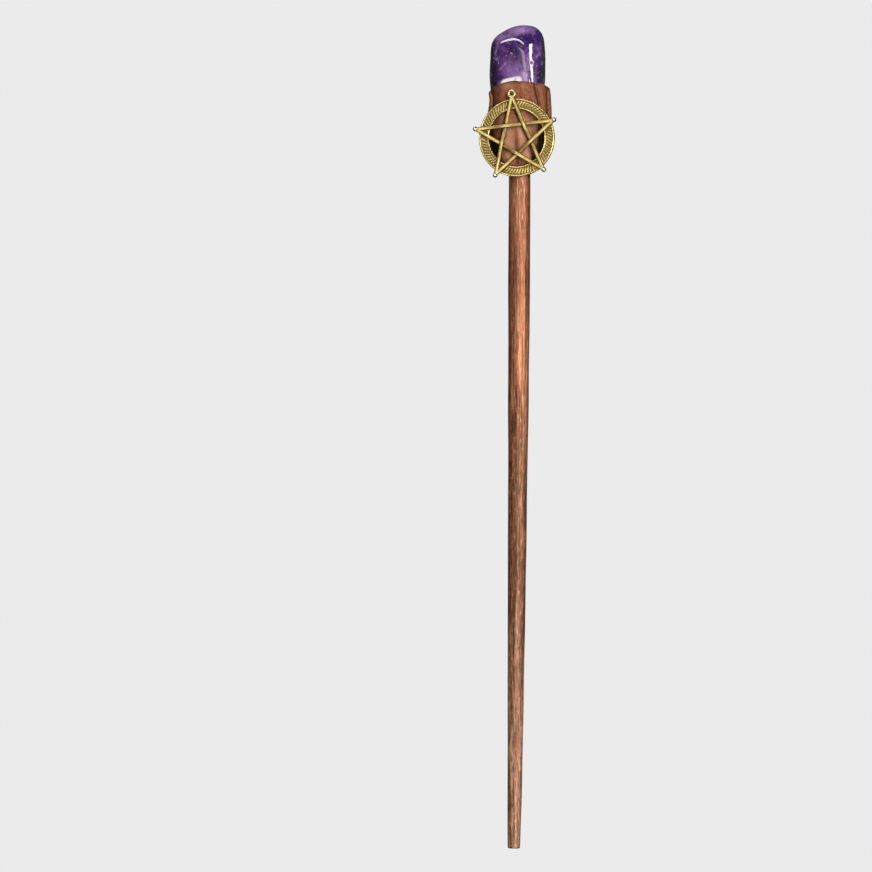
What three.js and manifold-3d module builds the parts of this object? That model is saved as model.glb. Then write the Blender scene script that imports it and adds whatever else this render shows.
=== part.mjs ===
// A crystal wand: a tapered hardwood shaft, a calyx of five lapped petals moulded round a core, a tumbled
// amethyst bedded in the core, and a woven five-point star medallion glued to the front of the calyx.
//
// Millimetres. +Z runs from the tip to the crystal and the medallion faces -Y. The origin is on the
// shaft's axis, at the middle of the hand that holds it. Heights below are measured from the tip.

import * as THREE from "three";
import { mergeVertices } from "three/addons/utils/BufferGeometryUtils.js";
import Module from "manifold-3d";

const GRIP_HEIGHT = 240; // from the tip to the middle of the hand
const FIT_GAP = 0.3; // clearance where one piece is cut round another

const SHAFT = {
  segments: 32,
  steps: 14,
  end: 301, // top of the stick, inside the core
  tipRound: 0.6,
  tenonChamfer: 0.8,
  // [height, radius]: a straight taper that levels out under the calyx
  stations: [[0.6, 2.6], [28, 3.1], [80, 3.5], [130, 3.95], [180, 4.3], [235, 4.6], [300.2, 4.5]],
};

const CALYX = {
  bottom: 287,
  top: 326,
  neck: 5.4, // half-widths of the outside
  belly: 13.1,
  rim: 12.3,
  bellyAt: 0.62, // share of the height
  fullness: 0.4,
  depthRatio: 0.88, // front-to-back over side-to-side
  lean: 0.3, // the belly sits this far to +X of the shaft's axis
};

const PETAL = {
  thickness: 1.1,
  footThickness: 0.5,
  footShare: 0.2, // the wall reaches its full thickness this far up
  lapGap: 0.2,
  lapHold: 13, // degrees of a lapping edge that stand off the neighbour
  lapRun: 10, // degrees in which it comes back down
  columnAngle: 6,
  rows: 16,
};

// Angles are in degrees from the front (-Y) towards +X. A lapping edge lies over its neighbour.
const PETALS = [
  { name: "petal_front", from: -53, to: 51, laps: [false, false], crown: 326, crownAt: 0.6, fall: 3.3 },
  { name: "petal_right", from: 45, to: 81, laps: [true, false], crown: 325.4, crownAt: 0.6, fall: 1 },
  { name: "petal_back_right", from: 75, to: 191, laps: [true, true], crown: 324.6, crownAt: 0.5, fall: 2.8 },
  { name: "petal_back_left", from: 185, to: 267, laps: [false, true], crown: 324.2, crownAt: 0.5, fall: 2.6 },
  { name: "petal_left", from: 261, to: 313, laps: [false, true], crown: 322.6, crownAt: 0.5, fall: 1.2 },
];

const STONE = {
  middle: 329,
  top: 350,
  bottom: 308,
  halfWidth: 11.2,
  halfDepth: 8.2,
  turn: -4, // degrees that the block is turned about the wand's axis
  shiftX: -1.3,
  shiftY: -0.5,
  planPower: 3.2,
  crownPower: 3.1,
  rootPower: 1.8,
  crownShift: 3.4, // the highest point stands this far to +X
  crownFrom: 340,
  rootShift: 1.4, // the buried end stands this far to +X
  columns: 32,
  rows: 20,
};

const CORE = {
  bottom: 291,
  top: 317,
  boreRadius: 4.8,
  boreTop: 301.4,
  wellRadius: 5,
  wellFloor: 304.5,
  rows: 12,
  segments: 36,
};

const BEDDING = { radius: 4.7, bottom: 304.8, top: 312, segments: 24 };

const MEDALLION = {
  x: 2.3,
  back: -12.4, // Y of the ring's flat back
  height: 301.7,
  spin: 6.5, // degrees, turned towards -X at the top
  ringOuter: 16.55,
  ringInner: 12.4,
  ringThickness: 1.6,
  rimWidth: 0.7,
  bandDrop: 0.6,
  segments: 48,
};

const STAR = {
  points: 5,
  innerEdge: 4.6, // distances of a strip's edges from the medallion's middle
  outerEdge: 6.4,
  halfLength: 15.85,
  mitreGap: 0.2,
  thickness: 0.8,
  weave: 0.55, // how far a strip rises and dips where it crosses another
  crossing: 3.95, // from a strip's middle to each crossing
  plane: 2.15, // height of the strips' middle above the ring's back
  steps: 22,
};

const BEAD = { radius: 1.05, distance: 18.3, columns: 14, rows: 8 };
const EYE = { radius: 1.3, wire: 0.5, distance: 18.7, sides: 8, steps: 20 };
const GLUE_PAD = { inner: 12.7, outer: 16.2, halfAngle: 24, depth: 4, gap: 0.2, segments: 10 };

const wasm = await Module();
wasm.setup();

const { degToRad, smoothstep, lerp, clamp } = THREE.MathUtils;

const material = {
  wood: new THREE.MeshStandardMaterial({ color: 0x9a6448, roughness: 0.45, metalness: 0 }),
  clay: new THREE.MeshStandardMaterial({ color: 0x8f5236, roughness: 0.5, metalness: 0 }),
  amethyst: new THREE.MeshStandardMaterial({ color: 0x6b3f86, roughness: 0.08, metalness: 0 }),
  glue: new THREE.MeshStandardMaterial({ color: 0xc9b98f, roughness: 0.3, metalness: 0 }),
  antiqueGold: new THREE.MeshStandardMaterial({ color: 0xb9a24e, roughness: 0.35, metalness: 1 }),
};

// ---- geometry helpers ----

// A geometry with positions only and its shared vertices merged.
function welded(geometry) {
  const bare = geometry.index ? geometry.clone() : mergeVertices(geometry);
  bare.deleteAttribute("normal");
  bare.deleteAttribute("uv");
  return mergeVertices(bare, 1e-5);
}

function toSolid(geometry) {
  const bare = welded(geometry);
  return new wasm.Manifold(
    new wasm.Mesh({
      numProp: 3,
      vertProperties: new Float32Array(bare.getAttribute("position").array),
      triVerts: new Uint32Array(bare.index.array),
    }),
  );
}

function toGeometry(solid) {
  const mesh = solid.getMesh();
  const geometry = new THREE.BufferGeometry();
  geometry.setAttribute("position", new THREE.BufferAttribute(mesh.vertProperties, 3));
  geometry.setIndex(new THREE.BufferAttribute(mesh.triVerts, 1));
  geometry.computeVertexNormals();
  return geometry;
}

// Moves every vertex of a geometry to where place(vertex) says.
function mapped(geometry, place) {
  const bare = welded(geometry);
  const position = bare.getAttribute("position");
  const vertex = new THREE.Vector3();
  for (let i = 0; i < position.count; i += 1) {
    vertex.fromBufferAttribute(position, i);
    position.setXYZ(i, ...place(vertex).toArray());
  }
  bare.computeVertexNormals();
  return bare;
}

// A profile of [radius, height] pairs turned round the Z axis.
function turned(profile, segments) {
  const points = profile.map(([radius, height]) => new THREE.Vector2(radius, height));
  return new THREE.LatheGeometry(points, segments).rotateX(Math.PI / 2);
}

function rod(radius, bottom, top, segments) {
  return turned([[0, bottom], [radius, bottom], [radius, top], [0, top]], segments);
}

function named(name, geometry, finish) {
  const mesh = new THREE.Mesh(geometry, finish);
  mesh.name = name;
  return mesh;
}

// ---- shaft ----

function shaftGeometry() {
  const [[tipHeight, tipRadius]] = SHAFT.stations;
  const [, endRadius] = SHAFT.stations.at(-1);
  const stations = SHAFT.stations.map(([height, radius]) => new THREE.Vector2(height, radius));
  const taper = new THREE.SplineCurve(stations);
  const side = taper.getPoints(SHAFT.steps).map((point) => [point.y, point.x]);
  const eased = 0.3; // share of the rounding at the tip's middle step
  return turned(
    [
      [0, 0],
      [tipRadius - SHAFT.tipRound, 0],
      [tipRadius - SHAFT.tipRound * eased, tipHeight * eased],
      ...side,
      [endRadius - SHAFT.tenonChamfer, SHAFT.end],
      [0, SHAFT.end],
    ],
    SHAFT.segments,
  );
}

// ---- calyx ----

// A point on the calyx at an angle from the front, moved outwards from its outside by offset.
function calyxPoint(angle, height, offset) {
  const share = clamp((height - CALYX.bottom) / (CALYX.top - CALYX.bottom), 0, 1);
  const rise = Math.min(share / CALYX.bellyAt, 1);
  const curl = Math.max(share - CALYX.bellyAt, 0) / (1 - CALYX.bellyAt);
  const swell = (1 - (1 - rise) ** 2) ** CALYX.fullness;
  const halfWidth = lerp(CALYX.neck, CALYX.belly, swell) - (CALYX.belly - CALYX.rim) * curl ** 2;
  const flatten = smoothstep(share, 0, CALYX.bellyAt);
  const halfDepth = halfWidth * lerp(1, CALYX.depthRatio, flatten);
  return new THREE.Vector3(
    CALYX.lean * flatten + (halfWidth + offset) * Math.sin(angle),
    -(halfDepth + offset) * Math.cos(angle),
    height,
  );
}

// A closed body of revolution between two heights, offset from the calyx's outside.
function calyxBody(bottom, top, offset, segments, rows) {
  const body = new THREE.CylinderGeometry(1, 1, 1, segments, rows);
  return mapped(body, (vertex) => {
    const height = lerp(bottom, top, vertex.y + 0.5);
    const radius = Math.hypot(vertex.x, vertex.z);
    const edge = calyxPoint(Math.atan2(vertex.x, vertex.z), height, offset);
    const middle = new THREE.Vector3(0, 0, height);
    return radius > 0.5 ? edge : middle;
  });
}

function petalWall(share) {
  return lerp(PETAL.footThickness, PETAL.thickness, clamp(share / PETAL.footShare, 0, 1));
}

// How far a petal stands off its neighbour, as a share of the full lap, at some degrees from its edge.
function lapLift(degrees) {
  return 1 - smoothstep(degrees, PETAL.lapHold, PETAL.lapHold + PETAL.lapRun);
}

function petalGeometry({ from, to, laps, crown, crownAt, fall }) {
  const columns = Math.ceil((to - from) / PETAL.columnAngle);
  const slab = new THREE.BoxGeometry(1, 1, 1, columns, PETAL.rows, 1);
  return mapped(slab, (vertex) => {
    const across = vertex.x + 0.5;
    const up = vertex.y + 0.5;
    const outer = vertex.z + 0.5;
    const degrees = lerp(from, to, across);
    const rimHeight = crown - fall * ((across - crownAt) / Math.max(crownAt, 1 - crownAt)) ** 2;
    const wall = petalWall(up);
    const firstLap = laps[0] ? lapLift(degrees - from) : 0;
    const secondLap = laps[1] ? lapLift(to - degrees) : 0;
    const lift = (wall + PETAL.lapGap) * Math.max(firstLap, secondLap);
    const height = lerp(CALYX.bottom, rimHeight, up);
    return calyxPoint(degToRad(degrees), height, lift - wall * (1 - outer));
  });
}

// ---- amethyst ----

// The tumbled block, grown outwards by an allowance.
function stoneGeometry(allowance) {
  const turn = degToRad(STONE.turn);
  const zAxis = new THREE.Vector3(0, 0, 1);
  const ball = new THREE.SphereGeometry(1, STONE.columns, STONE.rows).rotateX(Math.PI / 2);
  return mapped(ball, (vertex) => {
    const upper = vertex.z >= 0;
    const power = upper ? STONE.crownPower : STONE.rootPower;
    const { planPower } = STONE;
    const plan = (Math.abs(vertex.x) ** planPower + Math.abs(vertex.y) ** planPower) ** (1 / planPower);
    const reach = (plan ** power + Math.abs(vertex.z) ** power) ** (-1 / power);
    const halfHeight = upper ? STONE.top - STONE.middle : STONE.middle - STONE.bottom;
    const point = new THREE.Vector3(
      vertex.x * reach * (STONE.halfWidth + allowance),
      vertex.y * reach * (STONE.halfDepth + allowance),
      STONE.middle + vertex.z * reach * (halfHeight + allowance),
    ).applyAxisAngle(zAxis, turn);
    const crown = Math.max(point.z - STONE.crownFrom, 0) / (STONE.top - STONE.crownFrom);
    const root = Math.max(STONE.middle - point.z, 0) / (STONE.middle - STONE.bottom);
    point.x += STONE.shiftX + STONE.crownShift * crown ** 2 + STONE.rootShift * root;
    point.y += STONE.shiftY;
    return point;
  });
}

// ---- core and bedding ----

function coreGeometry(stoneSpace) {
  const offset = -(PETAL.thickness + FIT_GAP);
  const body = toSolid(calyxBody(CORE.bottom, CORE.top, offset, CORE.segments, CORE.rows));
  const bore = toSolid(rod(CORE.boreRadius, CALYX.bottom, CORE.boreTop, SHAFT.segments));
  const well = toSolid(rod(CORE.wellRadius, CORE.wellFloor, BEDDING.top, BEDDING.segments));
  return toGeometry(body.subtract(bore).subtract(well).subtract(stoneSpace));
}

function beddingGeometry(stoneSpace) {
  const { radius, bottom, top, segments } = BEDDING;
  const plug = toSolid(rod(radius, bottom, top, segments));
  return toGeometry(plug.subtract(stoneSpace));
}

// ---- medallion ----
// Built face up: X right, Y up, Z out of the face, with the ring's flat back at Z = 0.

function ringGeometry() {
  const { ringInner, ringOuter, ringThickness, rimWidth, bandDrop, segments } = MEDALLION;
  const floor = ringThickness - bandDrop;
  return turned(
    [
      [ringInner, 0],
      [ringOuter, 0],
      [ringOuter, ringThickness],
      [ringOuter - rimWidth, ringThickness],
      [ringOuter - rimWidth, floor],
      [ringInner + rimWidth, floor],
      [ringInner + rimWidth, ringThickness],
      [ringInner, ringThickness],
      [ringInner, 0],
    ],
    segments,
  );
}

// One strip of the star, crossing above the middle from left to right. It rises over the strip on its
// left and dips under the strip on its right, and its ends are mitred to meet their neighbours.
function stripGeometry() {
  const slope = Math.tan(degToRad(90 - 90 / STAR.points));
  const slab = new THREE.BoxGeometry(1, 1, 1, STAR.steps, 2, 1);
  return mapped(slab, (vertex) => {
    const height = lerp(STAR.innerEdge, STAR.outerEdge, vertex.y + 0.5);
    const reach = Math.min(height * slope - STAR.mitreGap, STAR.halfLength);
    const along = 2 * vertex.x * reach;
    const ratio = along / STAR.crossing;
    const wave = -STAR.weave * ratio * Math.exp((1 - ratio ** 2) / 2);
    return new THREE.Vector3(along, height, STAR.plane + wave + vertex.z * STAR.thickness);
  });
}

// The arc of glue between the ring's back and the front petal, cut to the petal's curve.
function gluePadGeometry(medallionMatrix) {
  const { inner, outer, halfAngle, depth, gap, segments } = GLUE_PAD;
  const slab = new THREE.BoxGeometry(1, 1, 1, segments, 1, 1);
  const arc = mapped(slab, (vertex) => {
    const angle = degToRad(2 * halfAngle * vertex.x);
    const radius = lerp(inner, outer, vertex.y + 0.5);
    const z = -gap + depth * (vertex.z - 0.5);
    return new THREE.Vector3(radius * Math.sin(angle), radius * Math.cos(angle), z);
  }).applyMatrix4(medallionMatrix);
  const calyx = calyxBody(CALYX.bottom, CALYX.top, FIT_GAP, CORE.segments * 2, PETAL.rows * 2);
  return toGeometry(toSolid(arc).subtract(toSolid(calyx)));
}

// ---- assembly ----

const wand = new THREE.Group();
wand.position.z = -GRIP_HEIGHT;

const stoneSpace = toSolid(stoneGeometry(FIT_GAP));

wand.add(named("shaft", shaftGeometry(), material.wood));
wand.add(named("calyx_core", coreGeometry(stoneSpace), material.clay));
for (const petal of PETALS) {
  const cut = toSolid(petalGeometry(petal)).subtract(stoneSpace);
  wand.add(named(petal.name, toGeometry(cut), material.clay));
}
wand.add(named("stone_bedding", beddingGeometry(stoneSpace), material.glue));
wand.add(named("amethyst", stoneGeometry(0), material.amethyst));

const medallion = new THREE.Group();
medallion.position.set(MEDALLION.x, MEDALLION.back, MEDALLION.height);
medallion.rotation.x = Math.PI / 2;
medallion.updateMatrix();
wand.add(medallion);

medallion.add(named("medallion_ring", ringGeometry(), material.antiqueGold));

const star = new THREE.Group();
star.rotation.z = degToRad(MEDALLION.spin);
medallion.add(star);

for (let point = 0; point < STAR.points; point += 1) {
  const turn = -degToRad((360 / STAR.points) * point);
  const strip = named(`star_strip_${point + 1}`, stripGeometry(), material.antiqueGold);
  strip.rotation.z = turn;
  star.add(strip);

  const onTop = point === 0;
  const distance = onTop ? EYE.distance : BEAD.distance;
  const name = onTop ? "hanging_eye" : `tip_bead_${point}`;
  const shape = onTop
    ? new THREE.TorusGeometry(EYE.radius, EYE.wire, EYE.sides, EYE.steps)
    : new THREE.SphereGeometry(BEAD.radius, BEAD.columns, BEAD.rows);
  const end = named(name, shape, material.antiqueGold);
  end.position.set(-distance * Math.sin(turn), distance * Math.cos(turn), STAR.plane);
  star.add(end);
}

wand.add(named("medallion_glue", gluePadGeometry(medallion.matrix), material.glue));

const group = new THREE.Group();
group.add(wand);

export default group;
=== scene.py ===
"""Looks for the crystal wand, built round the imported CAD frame.

Metres, +Z from the tip to the crystal, the medallion faces -Y. The stone, the calyx and the medallion
are worked out in millimetres and placed in metres.
"""

import math

import bmesh
import bpy
import numpy as np
from mathutils import Matrix, Vector
from mathutils.bvhtree import BVHTree


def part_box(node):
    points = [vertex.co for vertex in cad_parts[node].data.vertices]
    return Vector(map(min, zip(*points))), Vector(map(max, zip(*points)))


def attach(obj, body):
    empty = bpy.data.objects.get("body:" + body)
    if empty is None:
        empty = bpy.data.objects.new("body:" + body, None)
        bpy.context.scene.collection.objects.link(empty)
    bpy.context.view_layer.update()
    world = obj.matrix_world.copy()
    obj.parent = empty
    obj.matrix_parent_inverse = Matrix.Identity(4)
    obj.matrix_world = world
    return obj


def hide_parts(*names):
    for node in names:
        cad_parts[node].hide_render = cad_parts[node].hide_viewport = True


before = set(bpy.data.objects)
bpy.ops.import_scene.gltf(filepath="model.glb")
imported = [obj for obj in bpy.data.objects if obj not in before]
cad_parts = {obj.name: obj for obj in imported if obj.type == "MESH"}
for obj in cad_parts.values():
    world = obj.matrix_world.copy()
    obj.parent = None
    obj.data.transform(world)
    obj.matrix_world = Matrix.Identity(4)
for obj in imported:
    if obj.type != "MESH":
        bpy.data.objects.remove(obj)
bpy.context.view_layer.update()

MM = 0.001
BODY = "root"
SHAFT_LOW, SHAFT_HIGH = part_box("shaft")
TIP = SHAFT_LOW.z
RING_LOW, RING_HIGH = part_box("medallion_ring")
STONE_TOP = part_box("amethyst")[1].z


# ---------------------------------------------------------------- numbers and meshes

def smoothstep(x, low, high):
    t = np.clip((np.asarray(x, float) - low) / (high - low), 0, 1)
    return t * t * (3 - 2 * t)


def lerp(a, b, t):
    return a + (b - a) * t


def lattice(ix, iy, iz, seed):
    """A repeatable random number from 0 to 1 for each point of a whole-number grid."""
    h = (ix * 374761393 + iy * 668265263 + iz * 2147483647 + seed * 1274126177) & 0xFFFFFFFF
    h = ((h ^ (h >> 13)) * 1103515245) & 0xFFFFFFFF
    return ((h ^ (h >> 16)) & 0xFFFF) / 65535


def value_noise(points, seed=0):
    """Smooth noise from -1 to 1 at an array of points, with features one unit across."""
    points = np.asarray(points, float)
    cell = np.floor(points).astype(np.int64)
    f = points - cell
    f = f * f * (3 - 2 * f)
    total = 0
    for dx in (0, 1):
        for dy in (0, 1):
            for dz in (0, 1):
                weight = (
                    (f[..., 0] if dx else 1 - f[..., 0])
                    * (f[..., 1] if dy else 1 - f[..., 1])
                    * (f[..., 2] if dz else 1 - f[..., 2])
                )
                corner = [cell[..., axis] + step for axis, step in enumerate((dx, dy, dz))]
                total = total + weight * lattice(*corner, seed)
    return total * 2 - 1


def grid_faces(rows, columns, wrap):
    """Quads of a grid of rows by columns. wrap joins the last column to the first."""
    faces = []
    for i in range(rows - 1):
        for j in range(columns if wrap else columns - 1):
            k = (j + 1) % columns
            faces.append((i * columns + j, i * columns + k, (i + 1) * columns + k, (i + 1) * columns + j))
    return faces


def make_piece(name, vertices, faces, material, stands_for):
    mesh = bpy.data.meshes.new(name)
    mesh.from_pydata([tuple(v) for v in np.asarray(vertices, float)], [], faces)
    mesh.validate()
    bm = bmesh.new()
    bm.from_mesh(mesh)
    bmesh.ops.recalc_face_normals(bm, faces=bm.faces)
    bm.to_mesh(mesh)
    bm.free()
    mesh.polygons.foreach_set("use_smooth", [True] * len(mesh.polygons))
    piece = bpy.data.objects.new(name, mesh)
    bpy.context.scene.collection.objects.link(piece)
    mesh.materials.append(material)
    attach(piece, BODY)
    if stands_for:
        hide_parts(*stands_for)
    return piece


def add_mask(piece, name, values):
    """A number from 0 to 1 at each vertex, which the piece's material reads by name."""
    layer = piece.data.attributes.new(name, "FLOAT", "POINT")
    layer.data.foreach_set("value", np.clip(np.asarray(values, np.float32).ravel(), 0, 1))


# ---------------------------------------------------------------- materials

def srgb(red, green, blue):
    """A linear colour from a screen colour of 0 to 255."""
    def linear(c):
        c /= 255
        return c / 12.92 if c <= 0.04045 else ((c + 0.055) / 1.055) ** 2.4
    return (linear(red), linear(green), linear(blue), 1.0)


class Nodes:
    """A short way to write a material's nodes."""

    def __init__(self, name):
        self.material = bpy.data.materials.new(name)
        self.material.use_nodes = True
        self.tree = self.material.node_tree
        self.shader = self.tree.nodes["Principled BSDF"]
        self.coordinates = self.tree.nodes.new("ShaderNodeTexCoord").outputs["Object"]

    def add(self, kind, **inputs):
        node = self.tree.nodes.new(kind)
        for key, value in inputs.items():
            self.put(node.inputs[key.replace("_", " ")], value)
        return node

    def put(self, socket, value):
        if isinstance(value, bpy.types.NodeSocket):
            self.tree.links.new(value, socket)
        else:
            socket.default_value = value

    def noise(self, x, y, z, detail=4.0, roughness=0.55, distortion=0.0):
        """Noise with x, y and z features to the metre along each axis."""
        scaled = self.add("ShaderNodeMapping", Vector=self.coordinates, Scale=(x, y, z))
        node = self.add(
            "ShaderNodeTexNoise", Vector=scaled.outputs["Vector"], Scale=1.0, Detail=detail,
            Roughness=roughness, Distortion=distortion,
        )
        return node.outputs["Fac"]

    def ramp(self, value, *stops):
        """A colour ramp. Each stop is a place from 0 to 1 and a colour or a grey."""
        node = self.tree.nodes.new("ShaderNodeValToRGB")
        elements = node.color_ramp.elements
        while len(elements) < len(stops):
            elements.new(0.5)
        for element, (place, colour) in zip(elements, stops):
            element.position = place
            element.color = colour if isinstance(colour, tuple) else (colour, colour, colour, 1)
        self.put(node.inputs["Fac"], value)
        return node.outputs["Color"]

    def math(self, operation, a, b=0.0, c=0.0):
        node = self.tree.nodes.new("ShaderNodeMath")
        node.operation = operation
        for socket, value in zip(node.inputs, (a, b, c)):
            self.put(socket, value)
        return node.outputs["Value"]

    def mix(self, factor, a, b, blend="MIX"):
        node = self.tree.nodes.new("ShaderNodeMix")
        node.data_type = "RGBA"
        node.blend_type = blend
        self.put(node.inputs["Factor"], factor)
        colours = [s for s in node.inputs if s.type == "RGBA"]
        self.put(colours[0], a)
        self.put(colours[1], b)
        return next(s for s in node.outputs if s.type == "RGBA")

    def mask(self, name):
        node = self.tree.nodes.new("ShaderNodeAttribute")
        node.attribute_name = name
        return node.outputs["Fac"]

    def bump(self, height, strength, distance):
        node = self.add("ShaderNodeBump", Height=height, Strength=strength, Distance=distance)
        return node.outputs["Normal"]

    def finish(self, **inputs):
        for key, value in inputs.items():
            self.put(self.shader.inputs[key.replace("_", " ")], value)
        return self.material


STAIN_LOW = -0.24  # metres, in the frame: the stain's shares of the height count from here
STAIN_SPAN = 0.3


def wood_material():
    """Stained hardwood: long open grain, redder under the head and paler towards the tip."""
    n = Nodes("stained_wood")
    streaks = n.noise(1000, 1000, 26, detail=6, roughness=0.62)
    pores = n.noise(2600, 2600, 75, detail=3, roughness=0.6)
    bands = n.noise(240, 240, 12, detail=4, distortion=0.6)
    blotches = n.noise(150, 150, 38, detail=4, roughness=0.6)
    height = n.tree.nodes.new("ShaderNodeSeparateXYZ")
    n.put(height.inputs["Vector"], n.coordinates)
    up = n.math("MULTIPLY_ADD", height.outputs["Z"], 1 / STAIN_SPAN, -STAIN_LOW / STAIN_SPAN)
    red = n.ramp(
        streaks, (0.33, srgb(74, 28, 14)), (0.49, srgb(166, 92, 57)), (0.65, srgb(234, 166, 120))
    )
    pale = n.ramp(
        streaks, (0.33, srgb(96, 52, 36)), (0.49, srgb(196, 132, 100)), (0.65, srgb(248, 198, 160))
    )
    base = n.mix(n.ramp(up, (0.2, 0.0), (0.36, 1.0)), pale, red)
    base = n.mix(n.ramp(bands, (0.45, 0.0), (0.68, 0.7)), base, srgb(96, 46, 28))
    base = n.mix(n.ramp(blotches, (0.3, 0.4), (0.5, 0.0)), base, srgb(196, 136, 98))
    base = n.mix(n.ramp(pores, (0.33, 0.8), (0.46, 0.0)), base, srgb(52, 24, 12))
    flecks = n.noise(1700, 1700, 260, detail=4, roughness=0.65)
    base = n.mix(n.ramp(flecks, (0.56, 0.0), (0.7, 0.7)), base, srgb(238, 196, 160))
    base = n.mix(n.ramp(flecks, (0.32, 0.75), (0.44, 0.0)), base, srgb(60, 28, 16))
    # Darker zones along the height. The lower band is the wood's own tone; the dark band just below the
    # head, with the lighter top above it, is painted shade and light.
    height_zones_and_painted_light = n.ramp(
        up, (0.2, 0.95), (0.34, 0.68), (0.56, 0.72), (0.66, 0.95), (0.8, 0.72), (0.9, 1.0)
    )
    base = n.mix(1.0, base, height_zones_and_painted_light, "MULTIPLY")
    fibres = n.noise(900, 900, 190, detail=6, roughness=0.75, distortion=0.8)
    rough_end = n.ramp(up, (0.55, 1.0), (0.75, 0.3))
    furrowed = n.mix(1.0, base, n.ramp(fibres, (0.4, 0.36), (0.56, 1.0)), "MULTIPLY")
    base = n.mix(rough_end, base, furrowed)
    raised = n.math("MULTIPLY", rough_end, n.ramp(fibres, (0.58, 0.0), (0.68, 0.6)))
    base = n.mix(raised, base, srgb(226, 170, 134))
    # Painted shade on the shaft just under the calyx.
    base = n.mix(n.mask("painted_shade"), base, srgb(40, 16, 8))
    rough = n.math("MULTIPLY_ADD", rough_end, 0.12, n.ramp(streaks, (0.3, 0.46), (0.7, 0.36)))
    relief = n.math("ADD", n.math("MULTIPLY", flecks, 0.7), streaks)
    relief = n.math("ADD", relief, n.math("MULTIPLY", rough_end, fibres))
    normal = n.bump(relief, 0.8, 0.0002)
    sheen = n.ramp(up, (0.4, 0.15), (0.75, 0.4))
    return n.finish(
        Base_Color=base, Roughness=rough, Normal=normal, Metallic=sheen, Specular_IOR_Level=0.8,
        Specular_Tint=srgb(255, 214, 180),
    )


def clay_material():
    """Air-dried clay under a brown wash, with painted shade in the laps, creases and flanks, and painted
    light over the front petal's lobes.
    """
    n = Nodes("brown_clay")
    patches = n.noise(140, 140, 80, detail=4, distortion=0.4)
    streaks = n.noise(520, 520, 90, detail=4, roughness=0.6)
    grain = n.noise(1700, 1700, 1100, detail=3)
    base = n.ramp(patches, (0.3, srgb(108, 56, 34)), (0.55, srgb(138, 80, 50)), (0.75, srgb(160, 102, 66)))
    base = n.mix(n.ramp(streaks, (0.35, 0.45), (0.55, 0.0)), base, srgb(96, 48, 28))
    base = n.mix(n.ramp(streaks, (0.6, 0.0), (0.8, 0.35)), base, srgb(196, 138, 100))
    base = n.mix(n.ramp(grain, (0.36, 0.6), (0.48, 0.0)), base, srgb(66, 30, 18))
    base = n.mix(n.ramp(grain, (0.56, 0.0), (0.68, 0.4)), base, srgb(206, 150, 118))
    # Paler tone at random, and painted light over the front petal's lobes.
    base = n.mix(n.mask("mottle_and_painted_light"), base, srgb(206, 148, 116))
    # Painted shade in the laps, creases and flanks.
    base = n.mix(n.mask("painted_shade"), base, srgb(20, 9, 7))
    polish = n.ramp(patches, (0.3, 0.6), (0.7, 0.48))
    rough = n.math("MAXIMUM", polish, n.math("MULTIPLY", n.mask("painted_shade"), 0.9))
    normal = n.bump(n.math("ADD", grain, streaks), 0.3, 0.0001)
    return n.finish(
        Base_Color=base, Roughness=rough, Normal=normal, Specular_IOR_Level=0.22,
        Specular_Tint=srgb(255, 214, 180),
    )


def amethyst_material():
    """Amethyst with a high polish: a dark violet crown, a lilac heart, veils and fine inclusions, with
    painted shade down its sides and in its pit and chip, and a painted reflection low on the front.
    """
    n = Nodes("amethyst_stone")
    zones = n.noise(90, 90, 110, detail=4, roughness=0.6, distortion=0.8)
    cloud = n.noise(210, 210, 170, detail=6, roughness=0.68, distortion=0.5)
    veils = n.noise(150, 150, 420, detail=4, roughness=0.6, distortion=1.2)
    base = n.ramp(zones, (0.3, srgb(64, 30, 90)), (0.5, srgb(100, 60, 126)), (0.7, srgb(132, 96, 154)))
    base = n.mix(n.mask("pale"), base, srgb(174, 132, 186))
    # deep and dark are partly painted shade down the stone's sides and at their foot.
    base = n.mix(n.mask("deep"), base, srgb(52, 14, 92))
    base = n.mix(n.mask("dark"), base, srgb(22, 10, 34))
    base = n.mix(n.ramp(cloud, (0.52, 0.0), (0.68, 0.6)), base, srgb(172, 134, 190))
    base = n.mix(n.ramp(cloud, (0.34, 0.8), (0.48, 0.0)), base, srgb(30, 10, 50))
    base = n.mix(n.ramp(veils, (0.62, 0.0), (0.72, 0.4)), base, srgb(186, 156, 204))
    specks = n.noise(1100, 1100, 1100, detail=2)
    base = n.mix(n.ramp(specks, (0.66, 0.0), (0.74, 0.7)), base, srgb(214, 188, 230))
    base = n.mix(n.ramp(specks, (0.26, 0.6), (0.34, 0.0)), base, srgb(20, 8, 34))
    # Painted reflection: a near-white patch low on the front.
    base = n.mix(n.mask("painted_reflection"), base, srgb(255, 240, 250))
    # Painted shade in the pit and the chip.
    base = n.mix(n.mask("painted_shade"), base, srgb(14, 6, 20))
    relief = n.noise(420, 420, 420, detail=3)
    normal = n.bump(relief, 0.04, 0.0001)
    return n.finish(
        Base_Color=base, Roughness=0.06, IOR=1.54, Normal=normal, Coat_Weight=0.4, Coat_Roughness=0.02,
        Subsurface_Weight=0.06, Subsurface_Radius=(0.003, 0.0015, 0.004), Subsurface_Scale=1.0,
    )


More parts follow.
